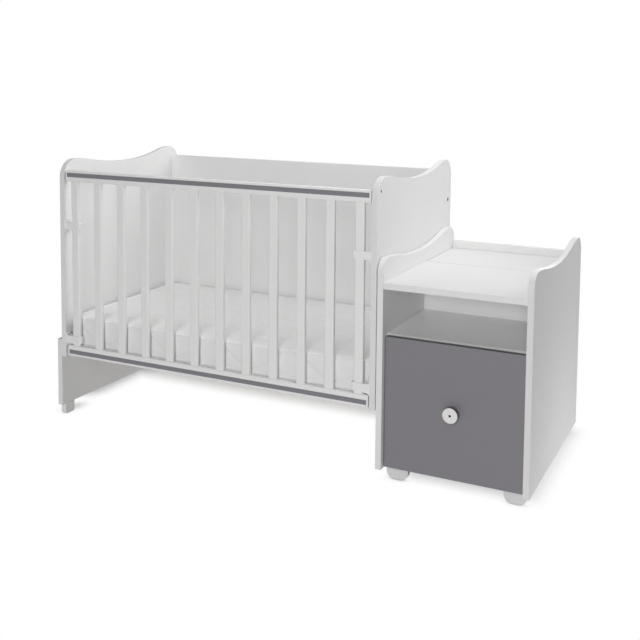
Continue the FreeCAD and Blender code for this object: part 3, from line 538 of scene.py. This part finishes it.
corners = [vertex.co for vertex in cover.data.vertices]
hull = BVHTree.FromPolygons(corners, [face.vertices[:] for face in cover.data.polygons])
angles = np.linspace(0, 2 * np.pi, CORD_POINTS, endpoint=False)
squareness = np.maximum(np.abs(np.cos(angles)), np.abs(np.sin(angles)))
cords = round_strand("mattress_seam", CORD_RADIUS)
cords.bevel_resolution = CORD_FACETS
for level in (high[2] - CROWN - CORD_DROP, low[2] + CORD_DROP):
    round_edge = np.column_stack([
        middle[0] + reach[0] * np.cos(angles) / squareness,
        middle[1] + reach[1] * np.sin(angles) / squareness,
        np.full(CORD_POINTS, level),
    ])
    on_cover = [hull.find_nearest(Vector(spot))[0] for spot in sagged(round_edge)]
    add_line(cords, on_cover).use_cyclic_u = True
cords.materials.append(microfibre)
piping = placed("mattress_seam", cords)
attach(piping, "frame")

# Drop side: rails and slats of sprayed white lacquer, a little glossier than the boards, with the slight
# orange peel of the gun. The slats are let into the rails, and the end slats run in the guides.
LACQUER_WHITE = (0.825, 0.823, 0.818)
LACQUER_SHADE = (0.805, 0.803, 0.797)
LACQUER_ROUGHNESS = (0.36, 0.44)
COAT_PER_METRE = 9.0
RUB_PER_METRE = 40.0
PEEL_PER_METRE = 320.0
PEEL_HEIGHT = 0.00005

lacquer, place = new_finish("white_lacquer")
surface(place, {
    "Base Color": blended(cloud(place, COAT_PER_METRE), LACQUER_SHADE, LACQUER_WHITE),
    "Roughness": ranged(cloud(place, RUB_PER_METRE), LACQUER_ROUGHNESS),
    "Normal": relief(cloud(place, PEEL_PER_METRE), PEEL_HEIGHT),
})
slats = [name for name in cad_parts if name.startswith("slat_")]
dress(lacquer, "drop_top_rail", "drop_bottom_rail", *slats)

# Inlaid strips and drawer front: grey melamine with a fine lengthwise brush in the print, and a near-black
# band
# round the edges: partly its own dark edging, partly painted shade that deepens the gaps beside the drawer
# front. The strips are pressed into grooves in the rails.
GREY_LIGHT = (0.211, 0.204, 0.221)
GREY_DARK = (0.189, 0.182, 0.199)
GREY_EDGE_AND_SHADE = (0.07, 0.07, 0.075)
GREY_ROUGHNESS = (0.44, 0.54)
BRUSH_PER_METRE = (14.0, 900.0, 900.0)
BRUSH_SHARE = 0.7
PRINT_PER_METRE = 4.0

grey, place = new_finish("grey_laminate")
brush = cloud(stretched(place, BRUSH_PER_METRE), detail=3.0)
printed = brush * BRUSH_SHARE + cloud(place, PRINT_PER_METRE) * (1 - BRUSH_SHARE)
face_grey = blended(printed, GREY_DARK, GREY_LIGHT)
surface(place, {
    "Base Color": blended(stepped(facing(place, "Y"), *BAND_TURN), GREY_EDGE_AND_SHADE, face_grey),
    "Roughness": ranged(brush, GREY_ROUGHNESS),
    "Specular IOR Level": 0.4,
    "Normal": relief(cloud(place, PEBBLE_PER_METRE, detail=1.0), PEBBLE_HEIGHT),
})
dress(grey, "top_strip", "bottom_strip", "drawer_front")

# Guides, caps and runners: injection-moulded white plastic, satin, with the fine spark texture of the mould.
# The guides are screwed to the end panels, and the heads of their screws are painted to match.
PLASTIC_WHITE = (0.83, 0.83, 0.83)
PLASTIC_SHADE = (0.80, 0.80, 0.805)
PLASTIC_ROUGHNESS = (0.32, 0.44)
FLOW_PER_METRE = 30.0
SPARK_PER_METRE = 2200.0
SPARK_HEIGHT = 0.00004

plastic, place = new_finish("white_plastic")
spark = cloud(place, SPARK_PER_METRE, detail=1.0)
surface(place, {
    "Base Color": blended(cloud(place, FLOW_PER_METRE), PLASTIC_SHADE, PLASTIC_WHITE),
    "Roughness": ranged(spark, PLASTIC_ROUGHNESS),
    "Normal": relief(spark, SPARK_HEIGHT),
})
dress(plastic, "lower_left_guide", "lower_right_guide", "upper_left_guide", "upper_right_guide")
dress(plastic, "guide_screws", "cover_cap", "drawer_runners")

# Cabinet: the same white board, dowelled and screwed: wavy sides, a top in two halves, back, divider, shelf,
# bottom and feet. Their whites are painted light and shade: the top, the right side, the back and the feet
# are darker copies, the left side, the shelf and the bottom lighter ones, and the edges of the shelf and feet
# darker still. The shelf is the smoothest.
# Lighter and darker copies of the board's white: painted light and painted shade.
TOP_PAINTED_SHADE = (0.725, 0.725, 0.723)
HALVES_PAINTED_SHADE = (0.55, 0.55, 0.545)
GAP_PAINTED_SHADE = (0.22, 0.22, 0.22)
SIDE_PAINTED_SHADE = (0.745, 0.745, 0.743)
BACK_PAINTED_SHADE = (0.735, 0.735, 0.733)
SHELF_PAINTED_LIGHT = (0.92, 0.92, 0.918)
SHELF_EDGE_PAINTED_SHADE = (0.55, 0.55, 0.55)
FOOT_PAINTED_SHADE = (0.68, 0.68, 0.678)
FOOT_EDGE_PAINTED_SHADE = (0.10, 0.10, 0.10)

# The left side takes the lighter copy of the white, as painted light.
dress(melamine("white_board_niche", "X", face=PAINTED_LIGHT_WHITE), "cabinet_left_side")
dress(upright_across_y, "cabinet_divider")
dress(melamine("white_board_feet", "Y", face=FOOT_PAINTED_SHADE, edging=FOOT_EDGE_PAINTED_SHADE), "cabinet_feet")
dress(melamine("white_board_side", "X", face=SIDE_PAINTED_SHADE, edging=PAINTED_SHADE_WHITE), "cabinet_right_side")
dress(melamine("white_board_rear", "Y", face=BACK_PAINTED_SHADE, edging=BACK_PAINTED_SHADE), "cabinet_back_board")
# Painted shade along the top's joints: between its halves, and at the rear half's left and back edges.
rear_low, rear_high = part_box("cabinet_rear_top")
halves = ("Y", rear_low.y, HALVES_PAINTED_SHADE)
top_seam_shades = (halves, ("X", rear_low.x, GAP_PAINTED_SHADE), ("Y", rear_high.y, GAP_PAINTED_SHADE))
dress(melamine("white_board_front_top", "Z", face=TOP_PAINTED_SHADE, seams=(halves,)), "cabinet_front_top")
dress(melamine("white_board_rear_top", "Z", face=TOP_PAINTED_SHADE, seams=top_seam_shades), "cabinet_rear_top")
shelf_board = melamine("white_board_shelf", "Z", face=SHELF_PAINTED_LIGHT, edging=SHELF_EDGE_PAINTED_SHADE, polish=1.0)
dress(shelf_board, "cabinet_shelf", "cabinet_bottom")

# Drawer: a box of white board round a thin floor of white-faced fibreboard, behind the grey front. Grooves in
# its sides run on the plastic strips in the cabinet.
FIBRE_WHITE = (0.74, 0.735, 0.72)
FIBRE_TAN = (0.60, 0.52, 0.40)
FIBRE_BARE = (0.62, 0.80)
FIBRE_ROUGHNESS = (0.6, 0.8)
FIBRES_PER_METRE = 400.0
FIBRE_HEIGHT = 0.00008

dress(upright_across_x, "drawer_left_side", "drawer_right_side")
dress(upright_across_y, "drawer_back")
fibreboard, place = new_finish("white_faced_fibreboard")
fibres = cloud(place, FIBRES_PER_METRE, detail=4.0)
surface(place, {
    "Base Color": blended(stepped(fibres, *FIBRE_BARE), FIBRE_WHITE, FIBRE_TAN),
    "Roughness": ranged(fibres, FIBRE_ROUGHNESS),
    "Normal": relief(fibres, FIBRE_HEIGHT),
})
dress(fibreboard, "drawer_floor")

# Knob: a flat turned disc on a neck, held by a screw through the front. Its face is speckled white plastic,
# and its rim and neck are painted near black as painted shade.
KNOB_WHITE = (0.80, 0.79, 0.79)
KNOB_FLECK = (0.52, 0.51, 0.50)
KNOB_RIM_PAINTED_SHADE = (0.06, 0.06, 0.06)
KNOB_ROUGHNESS = (0.38, 0.48)
RIM_TURN = (0.45, 0.65)
FLECKS_PER_METRE = 700.0
FLECK_STEP = (0.62, 0.72)
FLECK_SHARE = 0.6
FLECK_HEIGHT = 0.00003

knob_plastic, place = new_finish("speckled_plastic")
flecks = stepped(cloud(place, FLECKS_PER_METRE), *FLECK_STEP)
rim_shade = 1 - stepped(facing(place, "Y"), *RIM_TURN)
surface(place, {
    "Base Color": blended(rim_shade, blended(flecks * FLECK_SHARE, KNOB_WHITE, KNOB_FLECK), KNOB_RIM_PAINTED_SHADE),
    "Roughness": ranged(flecks, KNOB_ROUGHNESS),
    "Normal": relief(flecks, FLECK_HEIGHT),
})
dress(knob_plastic, "drawer_knob")

# Floor: a white studio sweep. It is white to the eye, except in painted shadow patches under and behind the
# cot, the plinth and the cabinet, and in painted contact shade where the feet touch it; inside these its own
# lit shading shows through. The light that it throws back is grey.
FLOOR_REACH = 12.0
SWEEP_WHITE = (1.0, 1.0, 1.0)
SHADED_WHITE = (0.95, 0.95, 0.95)
BOUNCE_GREY = (0.40, 0.40, 0.40)
SHADOW_SHARE = 0.75
CONTACT_SHARE = 0.4
CONTACT_REACH = 0.04
CONTACT_STEP = (0.2, 0.9)
CONTACT_SAMPLES = 16
# Each painted shadow patch: from where to where it lies along X and along Y, and the blur of its edges.
SHADOW_PATCHES = {
    "cot": ((-0.95, 0.36), (0.163, 0.45), 0.072),
    "plinth": ((-0.95, -0.835), (-0.13, 0.45), 0.065),
    "plinth_foot": ((-0.83, -0.80), (-0.29, -0.20), 0.04),
    "cabinet": ((0.42, 0.811), (-0.255, 0.36), 0.048),
}


def seen(place):
    """1 where the eye, a mirror or glass looks, and 0 where light bounces."""
    ways = ("Camera", "Glossy", "Transmission")
    eye, mirror, glass = (place.node("ShaderNodeLightPath", output=f"Is {way} Ray") for way in ways)
    return place.math("MAXIMUM", place.math("MAXIMUM", eye, mirror), glass)


def soft_span(place, axis, span, blur):
    """1 over a span of an axis, and 0 beyond its blurred ends."""
    run = along(place, axis)
    start, end = span
    return stepped(run, start - blur, start + blur) * (1 - stepped(run, end - blur, end + blur))


floor_mesh = bpy.data.meshes.new("studio_floor")
floor_corners = [(x * FLOOR_REACH, y * FLOOR_REACH, 0.0) for x, y in ((-1, -1), (1, -1), (1, 1), (-1, 1))]
floor_mesh.from_pydata(floor_corners, [], [range(4)])
floor = placed("studio_floor", floor_mesh)

sweep, place = new_finish("studio_white")
contact = place.node(
    "ShaderNodeAmbientOcclusion", {"samples": CONTACT_SAMPLES}, {"Distance": CONTACT_REACH}, output="AO",
)
shadow = CONTACT_SHARE * (1 - stepped(contact, *CONTACT_STEP))
for span_x, span_y, blur in SHADOW_PATCHES.values():
    patch = soft_span(place, "X", span_x, blur) * soft_span(place, "Y", span_y, blur)
    shadow = place.math("MAXIMUM", shadow, SHADOW_SHARE * patch)
white = place.node("ShaderNodeEmission", None, {"Color": rgba(SWEEP_WHITE)})
shaded = place.node("ShaderNodeBsdfDiffuse", None, {"Color": rgba(SHADED_WHITE)})
bounced = place.node("ShaderNodeBsdfDiffuse", None, {"Color": rgba(BOUNCE_GREY)})
pale = place.node("ShaderNodeMixShader", None, {0: shadow, 1: white, 2: shaded})
floor_shader = place.node("ShaderNodeMixShader", None, {0: seen(place), 1: bounced, 2: pale})
place.node("ShaderNodeOutputMaterial", None, {"Surface": floor_shader})
floor_mesh.materials.append(sweep)

# Light: soft boxes in front, overhead, at the back right and low behind, a small card beside the cabinet, and
# one broad box that lies on the floor for the glow of the sweep. The backdrop is white to the eye and in
# reflections, and lights nothing.
ROOM_STRENGTH = 0.0
COT_MIDDLE = (0.0, 0.0, 0.45)
# Each box: where it stands, what it faces, its width and its watts.
SOFT_BOXES = {
    "front_low": ((1.4, -6.9, 1.2), COT_MIDDLE, 3.0, 178),
    "front_high": ((1.3, -6.4, 3.1), COT_MIDDLE, 3.0, 90),
    "over_bed": ((-0.2, 0.1, 2.3), COT_MIDDLE, 1.2, 4.7),
    "over_front": ((0.5, -0.4, 2.3), COT_MIDDLE, 1.0, 4.7),
    "over_back": ((0.5, 0.4, 2.3), COT_MIDDLE, 1.0, 8.0),
    "over_cabinet": ((0.7, 0.0, 1.5), COT_MIDDLE, 0.7, 1.1),
    "over_niche": ((0.7, -1.15, 0.95), (0.6, -0.25, 0.42), 0.35, 0.7),
    "back_right": ((4.0, 3.0, 2.6), COT_MIDDLE, 2.0, 64),
    "back_right_high": ((3.0, 2.5, 4.0), COT_MIDDLE, 2.0, 47),
    "rear_low": ((0.3, 5.0, 0.6), COT_MIDDLE, 1.6, 26),
    "bounce_card": ((1.2, 0.1, 0.1), COT_MIDDLE, 0.3, 0.35),
    "sweep_glow": ((-1.0, -0.3, 0.002), (-1.0, -0.3, 1.0), 4.0, 15),
}

world = bpy.data.worlds.new("studio")
world.use_nodes = True
world.node_tree.nodes.clear()
place = Wire(world.node_tree.nodes.new("ShaderNodeTexCoord").outputs["Generated"])
room = place.node("ShaderNodeBackground", None, {"Color": rgba(SWEEP_WHITE), "Strength": ROOM_STRENGTH})
backdrop = place.node("ShaderNodeBackground", None, {"Color": rgba(SWEEP_WHITE)})
studio = place.node("ShaderNodeMixShader", None, {0: seen(place), 1: room, 2: backdrop})
place.node("ShaderNodeOutputWorld", None, {"Surface": studio})
bpy.context.scene.world = world

for name, (stand, target, width, watts) in SOFT_BOXES.items():
    light = bpy.data.lights.new(name, "AREA")
    light.size = width
    light.energy = watts
    lamp = placed(name, light)
    lamp.location = stand
    lamp.rotation_euler = (Vector(target) - Vector(stand)).to_track_quat("-Z", "Y").to_euler()
    lamp.visible_camera = False

# Camera: a little above the cot, to the right of it, with the lens raised as a view camera's is so that
# uprights stay upright.
VIEW_PLACE = (1.36301, -2.76101, 1.16574)
VIEW_TURN = (85.435, -0.498, 25.989)
VIEW_LENS = 52.610
VIEW_SHIFT = -0.2630
SENSOR_WIDTH = 36.0

view = bpy.data.cameras.new("photo_view")
view.sensor_width = SENSOR_WIDTH
view.lens = VIEW_LENS
view.shift_y = VIEW_SHIFT
camera = placed("photo_view", view)
camera.location = VIEW_PLACE
camera.rotation_euler = [math.radians(angle) for angle in VIEW_TURN]
bpy.context.scene.camera = camera
bpy.context.scene.view_settings.view_transform = "Standard"
